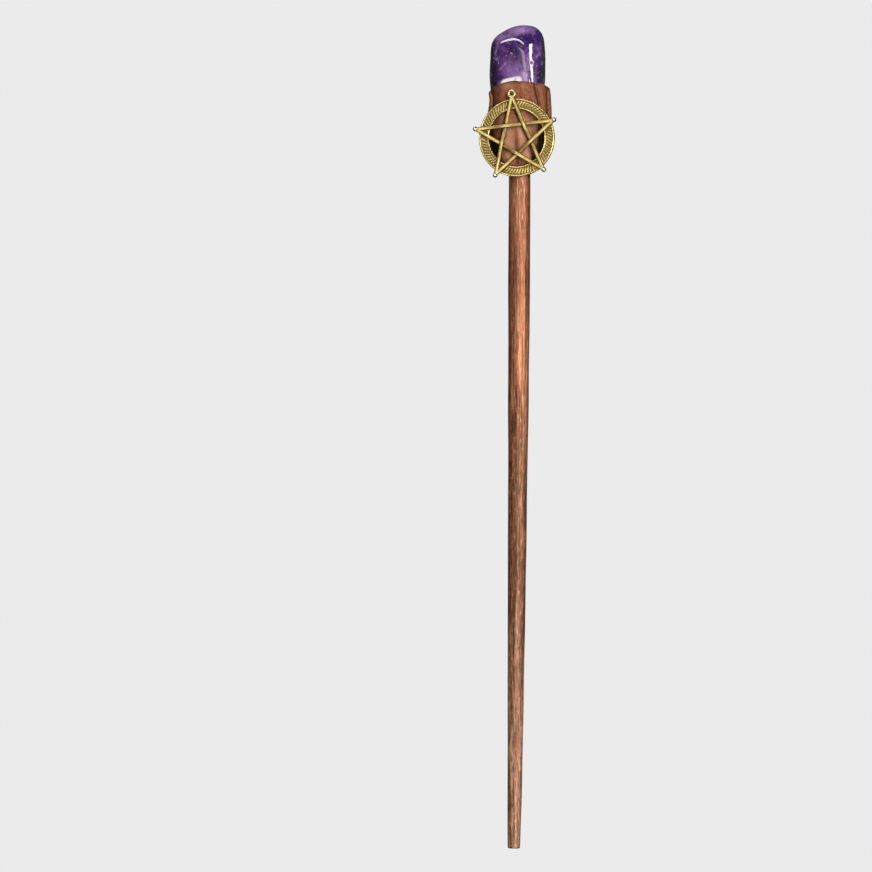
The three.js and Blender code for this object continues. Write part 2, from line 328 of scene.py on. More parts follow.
def brass_material():
    """Antique brass: bright where it is worn, brown-black where the patina is left, and a near-white
    painted highlight on the crowns of the beads and the eye.
    """
    n = Nodes("antique_brass")
    patches = n.noise(380, 380, 380, detail=4)
    fine = n.noise(2600, 2600, 2600, detail=3)
    worn = n.mask("worn")
    bright = n.ramp(
        patches, (0.3, srgb(178, 148, 78)), (0.55, srgb(208, 184, 108)), (0.78, srgb(232, 200, 156))
    )
    dark = n.ramp(fine, (0.3, srgb(50, 28, 10)), (0.7, srgb(104, 72, 34)))
    spots = n.ramp(fine, (0.3, 0.6), (0.42, 1.0))
    shown = n.math("MULTIPLY", worn, spots)
    base = n.mix(n.ramp(shown, (0.1, 0.0), (0.8, 1.0)), dark, bright)
    # Painted highlight: near white on the crowns of the beads and the eye.
    base = n.mix(n.mask("polished"), base, srgb(255, 246, 222))
    rough = n.ramp(worn, (0.1, 0.6), (0.8, 0.3))
    metal = n.ramp(worn, (0.2, 0.5), (0.8, 0.82))
    normal = n.bump(fine, 0.25, 0.00007)
    return n.finish(Base_Color=base, Metallic=metal, Roughness=rough, Normal=normal)


def glue_material():
    """Cured clear adhesive, slightly yellowed and cloudy."""
    n = Nodes("clear_glue")
    cloud = n.noise(300, 300, 300)
    base = n.ramp(cloud, (0.3, srgb(120, 96, 66)), (0.7, srgb(168, 146, 108)))
    return n.finish(Base_Color=base, Roughness=0.22, Coat_Weight=0.5)


WOOD = wood_material()
CLAY = clay_material()
AMETHYST = amethyst_material()
BRASS = brass_material()
GLUE = glue_material()


# ---------------------------------------------------------------- shaft

SHAFT_COLUMNS = 160
SHAFT_ROWS = 520
TIP_ROUND = 0.0007
TIP_STEPS = 6
BOW = 0.0004
TOP_GAP = 0.001  # the hidden top stops this far short of the CAD shaft's
# CAD vertices this near an end, or this near the axis, aren't on the shaft's side.
END_MARGIN = 0.0005
AXIS_MARGIN = 0.001
CURVE_DEGREE = 6
# The turning's unevenness: the shaft's radius counted in features, and a feature's height and depth.
WAVE = (0.6, 0.04, 0.0002)
FACET = (2.2, 0.018, 0.00012)
GROOVE = (11, 0.022, 0.0001)
SHADE_LOW, SHADE_HIGH = 0.2845, 0.2872  # painted shade under the calyx, above the tip


def shaft_radius(heights):
    """The CAD shaft's radius at some heights, as a smooth curve through its rings."""
    points = np.array([v.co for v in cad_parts["shaft"].data.vertices])
    radius = np.hypot(points[:, 0], points[:, 1])
    between = (points[:, 2] > TIP + END_MARGIN) & (points[:, 2] < SHAFT_HIGH.z - END_MARGIN)
    side = between & (radius > AXIS_MARGIN)
    curve = np.poly1d(np.polyfit(points[side, 2], radius[side], CURVE_DEGREE))
    return curve(heights)


def shaft_side(z, a):
    """Points on the side of the shaft, at heights and angles, with their radius. The grain is
    cut deepest towards the tip."""
    around = np.stack([np.cos(a), np.sin(a)], -1)

    def uneven(kind, seed):
        features, tall, _ = kind
        return value_noise(np.concatenate([around * features, (z / tall)[..., None]], -1), seed)

    ridged = 1 - np.abs(uneven(GROOVE, 5)) * 2
    coarse = 1 - 0.5 * smoothstep(z, TIP + 0.05, TIP + 0.2)
    radius = shaft_radius(z)
    radius = radius + WAVE[2] * uneven(WAVE, 1) + FACET[2] * uneven(FACET, 2)
    radius = radius - GROOVE[2] * coarse * np.clip(ridged, 0, 1) ** 4
    bow = BOW * np.sin(math.pi * np.clip((z - TIP) / (SHAFT_HIGH.z - TIP), 0, 1))
    return np.stack([radius * np.cos(a) + bow, radius * np.sin(a), z], -1), radius


def build_shaft():
    """A turned stick, a little bowed and uneven, with its grain open along it."""
    heights = np.linspace(TIP + TIP_ROUND, SHAFT_HIGH.z - TOP_GAP, SHAFT_ROWS)
    angles = np.linspace(0, 2 * math.pi, SHAFT_COLUMNS, endpoint=False)
    side, radius = shaft_side(*np.meshgrid(heights, angles, indexing="ij"))

    rounding = []
    for step in range(TIP_STEPS):
        turn = (step / TIP_STEPS) * math.pi / 2
        ring = side[0].copy()
        ring[:, :2] *= 1 - TIP_ROUND * (1 - math.sin(turn)) / radius[0].mean()
        ring[:, 2] = TIP + TIP_ROUND * (1 - math.cos(turn))
        rounding.append(ring)
    face = [rounding[0] * np.array([share, share, 1]) for share in (0.02, 0.35, 0.7)]
    top_ring = side[-1] * np.array([0.05, 0.05, 1])
    rows = np.array([*face, *rounding, *side, top_ring])
    faces = grid_faces(len(rows), SHAFT_COLUMNS, True)
    last = (len(rows) - 1) * SHAFT_COLUMNS
    faces.append(tuple(reversed(range(SHAFT_COLUMNS))))
    faces.append(tuple(last + i for i in range(SHAFT_COLUMNS)))
    points = rows.reshape(-1, 3)
    piece = make_piece("shaft_turned", points, faces, WOOD, ["shaft"])
    # Painted shade on the shaft just under the calyx.
    under_calyx = smoothstep(points[:, 2], TIP + SHADE_LOW, TIP + SHADE_HIGH)
    add_mask(piece, "painted_shade", 0.85 * under_calyx)
    return piece


# ---------------------------------------------------------------- amethyst

STONE_LEVEL = 7
STONE_MIDDLE = TIP + 0.329
STONE_HALF_WIDTH = 11.8
STONE_HALF_DEPTH = 8.9
STONE_CROWN = 21.1
STONE_ROOT = 21.0
STONE_SHIFT = (-1.77, -0.5)
STONE_TURN = math.radians(-4)
PLAN_POWER, CROWN_POWER, ROOT_POWER = 3.7, 4.3, 1.8  # squareness: 2 is round
CROWN_LEAN = 2.4  # the top and the buried end stand this far to +X
CROWN_LEAN_FROM, CROWN_LEAN_SPAN = 11, 10
ROOT_LEAN = 0.7
FACE_WEAR = 0.94
SWELLS = ((0.10, 6.5, 11), (0.03, 2.4, 12))  # depth, size and seed
# Each face of the tumbled block: azimuth and elevation of its outward normal in degrees, its distance
# from the block's middle in millimetres, and how softly it meets its neighbours.
STONE_FACES = [
    (-4, -2, 7.9, 0.4),  # broad front
    (42, 4, 11.3, 0.35),  # narrow ridge between the front and the right side
    (68, 3, 12.2, 0.6),  # right side
    (173, 0, 7.8, 0.9),  # back
    (-46, 0, 11.2, 1.4),  # left front corner
    (-84, 4, 11.9, 0.8),  # left side
    (-17, 36, 15.0, 0.8),  # two bevels between the front and the crown
    (28, 36, 15.7, 0.8),
    (-74, 52, 18.7, 1.4),  # long slope of the left shoulder
    (60, 46, 18.3, 1.2),
    (155, 38, 17.2, 1.2),
]
# Marks on the front: across the broad diagonal, above the block's middle, width and depth.
PIT = (4.6, 4.6, 0.5, 0.4)
CHIP = (-2.4, -2.3, 0.4, 0.12)
BROAD_VIEW = math.radians(16)  # the diagonal that the zoning and the marks are laid out across


def unit(azimuth, elevation):
    a, e = math.radians(azimuth), math.radians(elevation)
    return np.array([math.sin(a) * math.cos(e), -math.cos(a) * math.cos(e), math.sin(e)])


def stone_block(direction):
    """The rounded block before its faces are worn flat, from unit directions, in millimetres."""
    x, y, z = direction.T
    power = np.where(z >= 0, CROWN_POWER, ROOT_POWER)
    plan = (np.abs(x) ** PLAN_POWER + np.abs(y) ** PLAN_POWER) ** (1 / PLAN_POWER)
    reach = (plan ** power + np.abs(z) ** power) ** (-1 / power)
    px, py = x * reach * STONE_HALF_WIDTH, y * reach * STONE_HALF_DEPTH
    pz = z * reach * np.where(z >= 0, STONE_CROWN, STONE_ROOT)
    cos, sin = math.cos(STONE_TURN), math.sin(STONE_TURN)
    return np.stack([px * cos - py * sin, px * sin + py * cos, pz], -1)


def across_stone(points):
    return points[:, 0] * math.cos(BROAD_VIEW) + points[:, 1] * math.sin(BROAD_VIEW)


def dent(points, direction, mark):
    """Presses a small round hollow into the front. Returns the points and the hollow's strength."""
    across, above, width, depth = mark
    miss = (across_stone(points) - across) ** 2 + (points[:, 2] - above) ** 2
    miss = miss + 100 * (points[:, 1] > -1)  # keeps the mark off the back
    centre = points[np.argmin(miss)]
    near = np.exp(-((np.linalg.norm(points - centre, axis=1) / width) ** 2))
    return points - direction * (depth * near)[:, None], near


def stone_surface(direction):
    """The finished surface from unit directions, and how strongly the pit and the chip mark it."""
    points = stone_block(direction)
    for azimuth, elevation, distance, soft in STONE_FACES:
        normal = unit(azimuth, elevation)
        over = points @ normal - distance
        points = points - normal * (FACE_WEAR * soft * np.logaddexp(0, over / soft))[:, None]
    swell = sum(depth * value_noise(points / size, seed) for depth, size, seed in SWELLS)
    points = points + direction * swell[:, None]
    crown = np.clip(points[:, 2] - CROWN_LEAN_FROM, 0, None) / CROWN_LEAN_SPAN
    root = np.clip(-points[:, 2], 0, None) / STONE_ROOT
    points[:, 0] += STONE_SHIFT[0] + CROWN_LEAN * crown ** 2 + ROOT_LEAN * root
    points[:, 1] += STONE_SHIFT[1]
    points, pit = dent(points, direction, PIT)
    points, chip = dent(points, direction, CHIP)
    return points, pit, chip


def spot(u, z, centre, size):
    return np.exp(-(((u - centre[0]) / size[0]) ** 2) - (((z - centre[1]) / size[1]) ** 2))


def stone_zones(points):
    """Where the stone is pale, deep violet and nearly black, with painted shade down its sides and at
    their foot, and where a painted reflection lies low on the front.
    """
    u, y, z = across_stone(points), points[:, 1], points[:, 2]
    wander = 1.6 * value_noise(points / 3.5, 13)
    front = smoothstep(-y, 2, 6)

    heart = spot(u, z, (0.5, -1.5), (5.5, 7)) * front
    slope = z + 0.35 * np.clip(-u - 2, 0, None)
    shoulder = smoothstep(slope + 0.8 * wander, 15.0, 17.5) * smoothstep(-u + 1.5 * wander, -5, 0)
    pale = np.maximum(heart, 1.1 * shoulder)

    below_crown = np.maximum(smoothstep(z, 18.5, 16), smoothstep(u + wander, 1, 5))
    upper = smoothstep(z + wander, 9, 14) * smoothstep(u + wander, -9, -2) * below_crown
    # The deep violet round the right side is painted shade; the upper band is the stone's own zoning.
    deep = np.maximum(upper, smoothstep(u + 0.5 * wander, 6.6, 8.4))

    # Painted shade darkens both sides and their foot; the cloud is a dark zone inside the stone.
    left_side = smoothstep(-u + 0.4 * wander, 8.0, 11.8) * smoothstep(z, 19, 10)
    left_foot = smoothstep(-u + 0.5 * wander - 0.5 * (z + 3), 9.2, 11.4) * smoothstep(z, 4, -2)
    right_side = 0.9 * smoothstep(u + 0.5 * wander, 8.0, 9.8) * smoothstep(z, 19, 12)
    right_foot = 0.8 * smoothstep(u + 0.6 * wander, 5.9, 7.6) * smoothstep(z, 5, 0)
    cloud = 0.5 * spot(u, z, (-3, 6.5), (3.4, 3.2)) * front
    dark = np.maximum.reduce([left_side, left_foot, right_side, right_foot, cloud])

    # Painted reflection low on the front, just above the calyx's rim.
    above_lip = np.maximum(z + 3.0 - 0.2 * (u + 4.4), 0)
    lip = np.exp(-(((u + 3.9) / 4.7) ** 4) - ((above_lip / 1.5) ** 2)) * front
    painted_reflection = smoothstep(lip, 0.3, 0.7)
    return {"pale": 0.75 * pale, "deep": 0.85 * deep, "dark": dark, "painted_reflection": 0.95 * painted_reflection}


def build_stone():
    bm = bmesh.new()
    bmesh.ops.create_icosphere(bm, subdivisions=STONE_LEVEL, radius=1)
    direction = np.array([v.co.normalized() for v in bm.verts])
    faces = [tuple(v.index for v in f.verts) for f in bm.faces]
    bm.free()
    points, pit, chip = stone_surface(direction)
    placed = points + np.array([0, 0, STONE_MIDDLE / MM])
    placed[:, 2] = np.minimum(placed[:, 2], STONE_TOP / MM)
    piece = make_piece("amethyst_tumbled", placed * MM, faces, AMETHYST, ["amethyst"])
    for name, values in stone_zones(points).items():
        add_mask(piece, name, values)
    # Painted shade in the pit and the chip.
    add_mask(piece, "painted_shade", np.maximum(smoothstep(pit, 0.25, 0.8), 0.8 * chip))
    return piece


# ---------------------------------------------------------------- calyx

# All of the calyx is worked out in millimetres, with heights above the wand's tip.
CALYX_BOTTOM = 288.0
CALYX_TOP = 326.0
NECK, BELLY, RIM = 5.4, 13.1, 12.0
BELLY_AT = 0.56
FULLNESS = 0.32
DEPTH_RATIO = 0.88
LEAN = 0.3
# start, end: degrees from the front towards +X. laps: which edge lies over its neighbour.
# crown: the rim's highest point. at: the share of the way across it. fall: how far the rim drops from it.
# bend: how many degrees each edge swings towards +X below the rim.
PETALS = [
    {
        "node": "petal_front", "start": -64, "end": 51, "laps": (0, 0),
        "crown": 326.0, "at": 0.62, "fall": 3.3, "bend": (0, 9),
    },
    {
        "node": "petal_right", "start": 45, "end": 81, "laps": (1, 0),
        "crown": 325.4, "at": 0.6, "fall": 1.0, "bend": (9, 0),
    },
    {
        "node": "petal_back_right", "start": 75, "end": 191, "laps": (1, 1),
        "crown": 324.6, "at": 0.5, "fall": 2.8, "bend": (0, 0),
    },
    {
        "node": "petal_back_left", "start": 185, "end": 267, "laps": (0, 1),
        "crown": 324.2, "at": 0.5, "fall": 2.6, "bend": (0, 0),
    },
    {
        "node": "petal_left", "start": 261, "end": 304, "laps": (0, 1),
        "crown": 322.2, "at": 0.5, "fall": 1.4, "bend": (0, 0),
    },
]
PETAL_WALL = 1.0
PETAL_ROWS = 110
PETAL_COLUMNS = 40  # at least
COLUMNS_PER_DEGREE = 1.25
LAP_HOLD = 9  # degrees from a lapping edge over which it keeps its lift, and then loses it
LAP_RUN = 14
LAP_LIFT = 0.8  # of the wall
CORNER = 2.6
BEND_HIGH, BEND_LOW = 325, 314
RIM_BAND = 10  # the wall lies against the stone this far below the rim
RAY_START = 0.006  # metres outside the wall
RAY_LENGTH = 0.02
STONE_COVER = 0.55  # the least clay over the stone
STONE_BITE = 0.25  # how far the inner face is set into the stone's surface
PRESS_SOFTNESS = 0.4
RIM_ROUNDING = 1.3


def calyx_point(angle, height, offset):
    """A point on the calyx, at an angle from the front, a height and an offset outwards."""
    share = np.clip((height - CALYX_BOTTOM) / (CALYX_TOP - CALYX_BOTTOM), 0, 1)
    rise = np.minimum(share / BELLY_AT, 1)
    curl = np.maximum(share - BELLY_AT, 0) / (1 - BELLY_AT)
    swell = (1 - (1 - rise) ** 2) ** FULLNESS
    half_width = lerp(NECK, BELLY, swell) - (BELLY - RIM) * curl ** 2
    flatten = smoothstep(share, 0, BELLY_AT)
    half_depth = half_width * lerp(1, DEPTH_RATIO, flatten)
    x = LEAN * flatten + (half_width + offset) * np.sin(angle)
    return np.stack([x, -(half_depth + offset) * np.cos(angle), height], -1)


def edge_angle(petal, side, height):
    """Degrees at which a petal's start (0) or end (1) runs at a height."""
    return petal[("start", "end")[side]] + petal["bend"][side] * smoothstep(height, BEND_HIGH, BEND_LOW)


def spaced(count, ends=0.6):
    """Numbers from 0 to 1, closer together towards both ends."""
    even = np.linspace(0, 1, count)
    return lerp(even, (1 - np.cos(math.pi * even)) / 2, ends)


def crease_line(height):
    """Degrees at which the front petal's crease runs."""
    return 4 + 5.5 * np.clip((306 - height) / 14, 0, 1) - 2 * smoothstep(height, 306, 320)


def front_relief(degrees, height):
    """The front petal's crease with the two lobes beside it, and the depth of shade in the crease."""
    off = degrees - crease_line(height)
    strength = smoothstep(height, 309, 300) * smoothstep(height, 288, 294) + 0.12
    crease = -0.95 * strength * np.exp(-np.abs(off) / 3.4)
    lobes = 0.5 * np.exp(-(((np.abs(off) - 18) / 13) ** 2)) * smoothstep(height, 318, 303)
    return crease + lobes, strength * np.exp(-np.abs(off) / 2.2)


def rounded(distance, radius):
    """How full an edge of a round section is, from 0 on the edge to 1 a radius in."""
    return np.sqrt(1 - (1 - np.clip(distance / radius, 0, 1)) ** 2)


def petal_relief(petal, degrees, height):
    """Hand marks, flutes, the fuller left shoulder and the front petal's crease."""
    angle = np.radians(degrees)
    place = np.stack([np.sin(angle) * 9, np.cos(angle) * 9, height], -1)
    relief = 0.14 * value_noise(place / 5.5, 21) + 0.05 * value_noise(place / 2.1, 22)
    flutes = np.stack([degrees / 6.5, height * 0, height / 22], -1)
    relief = relief + 0.07 * value_noise(flutes, 23)
    haunch = np.exp(-((((degrees + 180) % 360 - 180 + 72) / 34) ** 2))
    relief = relief + 0.9 * haunch * smoothstep(height, 319, 307) * smoothstep(height, 287, 294)
    if petal["node"] == "petal_front":
        relief = relief + front_relief(degrees, height)[0]
    return relief


def press_to_stone(outer, inner, lift, near_rim, stone_tree):
    """Lays the wall against the stone near the rim, in place."""
    for i, j in zip(*np.nonzero(near_rim)):
        outside = Vector(outer[i, j]) * MM + Vector((0, 0, TIP))
        inward = Vector((-outside.x, -outside.y, 0)).normalized()
        hit = stone_tree.ray_cast(outside - inward * RAY_START, inward, RAY_LENGTH)[0]
        if hit is None:
            continue
        away = np.array([-inward.x, -inward.y, 0])
        stone_radius = math.hypot(hit.x, hit.y) / MM
        least = stone_radius + STONE_COVER + lift[i, j]
        radius = math.hypot(outer[i, j, 0], outer[i, j, 1])
        short = min((least - radius) / PRESS_SOFTNESS, 40)
        outer[i, j] += away * (PRESS_SOFTNESS * math.log1p(math.exp(short)))
        inner[i, j, :2] = away[:2] * (stone_radius - STONE_BITE)


def petal_rim(petal, u, degrees, along):
    """The height of a petal's rim, with its corners rounded off."""
    rim = petal["crown"] - petal["fall"] * ((u - petal["at"]) / max(petal["at"], 1 - petal["at"])) ** 2
    rim = rim - 0.55 * CORNER * (1 - rounded(along, CORNER))
    return rim + 0.22 * value_noise(np.stack([degrees / 8, degrees * 0, degrees * 0 + 3], -1), 31)


def petal_surfaces(petal, u, v, stone_tree):
    """The outer and inner surface of a petal at shares across and up it."""
    span = petal["end"] - petal["start"]
    degrees = petal["start"] + span * u
    from_start, from_end = degrees - petal["start"], petal["end"] - degrees
    along = np.radians(np.minimum(from_start, from_end)) * BELLY
    rim = petal_rim(petal, u, degrees, along)
    height = lerp(CALYX_BOTTOM, rim, v)
    wall = PETAL_WALL * lerp(0.45, 1, np.clip(v / 0.2, 0, 1))
    first = (1 - smoothstep(from_start, LAP_HOLD, LAP_HOLD + LAP_RUN)) * petal["laps"][0]
    second = (1 - smoothstep(from_end, LAP_HOLD, LAP_HOLD + LAP_RUN)) * petal["laps"][1]
    lift = (LAP_LIFT * wall) * np.maximum(first, second)
    degrees = lerp(edge_angle(petal, 0, height), edge_angle(petal, 1, height), u)
    angle = np.radians(degrees)
    outer = calyx_point(angle, height, lift + petal_relief(petal, degrees, height))
    inner = calyx_point(angle, height, lift - wall)
    press_to_stone(outer, inner, lift, height > rim - RIM_BAND, stone_tree)
    edge_top = (1 - v) * (rim - CALYX_BOTTOM)
    thick = np.maximum(np.linalg.norm(outer - inner, axis=-1), 0.2)
    full = rounded(edge_top, np.minimum(thick, RIM_ROUNDING)) * rounded(along, 0.6 * PETAL_WALL)
    full = full[..., None]
    return inner + (outer - inner) * lerp(0.12, 1, full), inner + (outer - inner) * 0.06 * (1 - full)


def side_shade(signed, height, ragged):
    """Painted shade on the flanks left and right of the front petal, and further round."""
    level = height + ragged - 4 * smoothstep(-signed, 0, 30)
    behind = smoothstep(level, 310, 303) * smoothstep(height, CALYX_BOTTOM, CALYX_BOTTOM + 2)
    from_right = lerp(49, 37, smoothstep(height, 304, 292))
    from_left = lerp(46, 23, smoothstep(height, 308, 292))
    right = smoothstep(signed + ragged - from_right, 0, 8) * smoothstep(signed, 100, 84)
    left = smoothstep(-signed + ragged - from_left, 0, 8) * smoothstep(-signed, 106, 84)
    left_edge = 0.4 * smoothstep(-signed, 60, 72) * smoothstep(-signed, 106, 84)
    flanks = 0.93 * behind * np.maximum(left, right)
    right_edge = 0.5 * smoothstep(signed + 1.5 * ragged, 70, 96) * smoothstep(signed, 150, 120)
    return np.maximum.reduce([left_edge, flanks, right_edge])


def front_shade(signed, height, ragged):
    """Painted shade in the front petal's crease, along its two edges, down its left and at its rim."""
    return np.maximum.reduce([
        0.65 * front_relief(signed, height)[1],
        0.6 * np.maximum(smoothstep(-signed, 48, 63), smoothstep(signed, 44, 58)),
        0.45 * smoothstep(-signed + ragged, 26, 50),
        0.3 * smoothstep(height, CALYX_TOP - 2.5, CALYX_TOP),
    ])


def calyx_painted_shade(petal, points):
    """How much painted shade lies at points of a petal."""
    degrees = np.degrees(np.arctan2(points[:, 0], -points[:, 1])) % 360
    signed = (degrees + 180) % 360 - 180
    height = points[:, 2]
    ragged = 2.5 * value_noise(points / 2.5, 61)
    # Painted shade at the foot, in the laps where a neighbour lies over, on the flanks and along the
    # petal's own edges.
    wash = 0.8 * smoothstep(height, CALYX_BOTTOM + 3, CALYX_BOTTOM + 0.2)
    for other in PETALS:
        for side, lapped in enumerate(other["laps"]):
            if lapped and other is not petal:
                gap = np.abs((degrees - edge_angle(other, side, height) + 180) % 360 - 180)
                wash = np.maximum(wash, 0.95 * np.exp(-((gap / 2.6) ** 2)))
    wash = np.maximum(wash, side_shade(signed, height, ragged))
    if petal["node"] == "petal_front":
        return np.maximum(wash, front_shade(signed, height, ragged))
    start, end = edge_angle(petal, 0, height), edge_angle(petal, 1, height)
    edges = np.minimum((degrees - start) % 360, (end - degrees) % 360)
    return np.maximum(wash, 0.35 * smoothstep(edges, 2.5, 0))


def calyx_mottle_and_painted_light(petal, points):
    """A little paler tone at random over every petal, and painted light over the front petal's lobes,
    brighter right of the crease, and at the upper left of its rim.
    """
    signed = np.degrees(np.arctan2(points[:, 0], -points[:, 1]))
    height = points[:, 2]
    mottle = 0.75 + 0.5 * value_noise(points / 3, 62)
    if petal["node"] != "petal_front":
        return 0.12 * mottle
    off = np.abs(signed - crease_line(height))
    lobes = np.exp(-(((off - 17) / 15) ** 2)) * smoothstep(height, 316, 306) * smoothstep(height, 288, 294)
    side = np.where(signed > crease_line(height), 1.25, 0.95)
    rim = smoothstep(height, 318, 321) * smoothstep(height, 326, 324)
    upper = 0.4 * np.exp(-(((signed + 14) / 16) ** 2)) * rim
    return (0.62 * lobes * side + upper + 0.08) * mottle


def build_petal(petal, stone_tree):
    """A petal as a closed shell: its outer and inner surface joined round all four edges."""
    columns = max(PETAL_COLUMNS, int((petal["end"] - petal["start"]) * COLUMNS_PER_DEGREE))
    u, v = np.meshgrid(spaced(columns), spaced(PETAL_ROWS), indexing="ij")
    outer, inner = petal_surfaces(petal, u, v, stone_tree)
    vertices = np.concatenate([outer.reshape(-1, 3), inner.reshape(-1, 3)])
    count = columns * PETAL_ROWS
    front = grid_faces(columns, PETAL_ROWS, False)
    back = [tuple(count + k for k in reversed(face)) for face in front]
    level = [(i * PETAL_ROWS + j, PETAL_ROWS) for i in range(columns - 1) for j in (0, PETAL_ROWS - 1)]
    upright = [(i * PETAL_ROWS + j, 1) for j in range(PETAL_ROWS - 1) for i in (0, columns - 1)]
    border = [(corner, corner + step) for corner, step in level + upright]
    sides = [(a, b, count + b, count + a) for a, b in border]
    placed = vertices * MM + np.array([0, 0, TIP])
    piece = make_piece(
        petal["node"] + "_moulded", placed, front + back + sides, CLAY, [petal["node"]]
    )
    # Painted shade, then paler tone with painted light.
    add_mask(piece, "painted_shade", calyx_painted_shade(petal, vertices))
    add_mask(piece, "mottle_and_painted_light", calyx_mottle_and_painted_light(petal, vertices))
    return piece


# ---------------------------------------------------------------- medallion

RING_CENTRE = (RING_LOW + RING_HIGH) / 2
RING_BACK = RING_HIGH.y
RING_OUTER = (RING_HIGH.z - RING_LOW.z) / 2 / MM
RING_INNER = 12.2
RING_MIDDLE = (RING_INNER + RING_OUTER) / 2
RING_BEVEL = 0.25
RIM_BEAD = 0.36  # radius of the round bead along each edge of the ring
RIM_LEVEL = 1.25
BAND_LEVEL = 0.85
BAND_GAP = 0.12
STEPS_PER_RIB = 10
RIB_HEIGHT = 0.42
RIBS = 72
RIB_SLANT = 2.4
SPIN = math.radians(6.5)
MEDALLION = Matrix.Translation((RING_CENTRE.x, RING_BACK, RING_CENTRE.z))
MEDALLION = MEDALLION @ Matrix.Rotation(math.pi / 2, 4, "X")
STAR_PLANE = 2.15
STRIP_MIDDLE = 5.5
STRIP_WIDTH = 1.7
STRIP_THICKNESS = 0.85
WEAVE = 0.55
CROSSING = 3.95
STRIP_STEPS, STRIP_SECTION = 150, 20
STRIP_SQUARENESS = 0.45  # 1 is an ellipse, 0 a rectangle
STRIP_DOME = 0.05
STRIP_REACH = 17.2
STAR_SLOPE = math.tan(math.radians(72))
BEAD_DISTANCE = 18.3
BEAD_COLUMNS = 32
# From the back of a bead to its crown: radius and height over the star's plane.
BEAD_PROFILE = np.array([
    (0.02, -1.0), (0.45, -0.98), (0.78, -0.7), (0.98, -0.3), (1.05, 0.05), (1.0, 0.3), (0.82, 0.42),
    (0.74, 0.5), (0.70, 0.66), (0.55, 0.9), (0.32, 1.03), (0.02, 1.06),
])
EYE_DISTANCE = 18.7
EYE_RADIUS = 1.35
EYE_WIRE = 0.5
EYE_STEPS, EYE_SECTION = 48, 20


def on_medallion(points, turn=0.0):
    """The frame's place for points in millimetres, X right, Y up and Z out of the medallion's face."""
    matrix = np.array(MEDALLION @ Matrix.Rotation(turn, 4, "Z"))
    return (np.asarray(points) * MM) @ matrix[:3, :3].T + matrix[:3, 3]


def ring_outline():
    """The ring's section, radius and height: a flat back, a bead at each edge and a band between."""
    def arc(cx, cy):
        turns = np.radians(np.linspace(0, 180, 11))
        return [(cx + RIM_BEAD * math.cos(k), cy + RIM_BEAD * math.sin(k)) for k in turns]
    inset = 2 * RIM_BEAD + BAND_GAP
    return np.array([
        (RING_INNER + RING_BEVEL, 0.0),
        (RING_OUTER - RING_BEVEL, 0.0),
        (RING_OUTER, RING_BEVEL),
        *arc(RING_OUTER - RIM_BEAD, RIM_LEVEL),
        *[(r, BAND_LEVEL) for r in np.linspace(RING_OUTER - inset, RING_INNER + inset, 14)],
        *arc(RING_INNER + RIM_BEAD, RIM_LEVEL),
        (RING_INNER, RING_BEVEL),
    ])


def build_ring():
    """The ring, with slanting ribs like a rope's along its band."""
    steps = RIBS * STEPS_PER_RIB
    outline = ring_outline()
    band = outline[:, 1] == BAND_LEVEL
    phi = np.linspace(0, 2 * math.pi, steps, endpoint=False)
    p, k = np.meshgrid(phi, np.arange(len(outline)), indexing="ij")
    r, h = outline[k, 0], outline[k, 1].copy()
    rope = 0.5 + 0.5 * np.cos(RIBS * p - RIB_SLANT * (r - RING_MIDDLE))
    half_band = (RING_OUTER - RING_INNER) / 2 - 2 * RIM_BEAD
    middle = np.clip(1 - np.abs((r - RING_MIDDLE) / half_band) ** 4, 0, 1)
    h = h + np.where(band[k], RIB_HEIGHT * rope ** 0.8 * middle, 0)
    wear = value_noise(np.stack([np.cos(p) * r, np.sin(p) * r, h], -1) / 2.2, 41)
    h = h + np.where(h > 0.6, 0.02 * wear, 0)
    points = np.stack([r * np.sin(p), r * np.cos(p), h], -1)
    faces = grid_faces(steps, len(outline), True)
    first = [(i, (i + 1) % len(outline)) for i in range(len(outline))]
    last = (steps - 1) * len(outline)
    faces += [(last + a, last + b, b, a) for a, b in first]
    points = on_medallion(points.reshape(-1, 3))
    piece = make_piece("medallion_rim", points, faces, BRASS, ["medallion_ring"])
    worn = np.where(band[k], 0.34 + 0.42 * rope ** 1.4 * middle, smoothstep(h, 1.15, 1.5))
    add_mask(piece, "worn", worn * (0.85 + 0.15 * wear))
    return piece


def strip_section():
    """Across and above for each point round a strip's rounded rectangle."""
    t = np.linspace(0, 2 * math.pi, STRIP_SECTION, endpoint=False)
    across = np.sign(np.cos(t)) * np.abs(np.cos(t)) ** STRIP_SQUARENESS * STRIP_WIDTH / 2
    above = np.sign(np.sin(t)) * np.abs(np.sin(t)) ** STRIP_SQUARENESS * STRIP_THICKNESS / 2
    return across, above


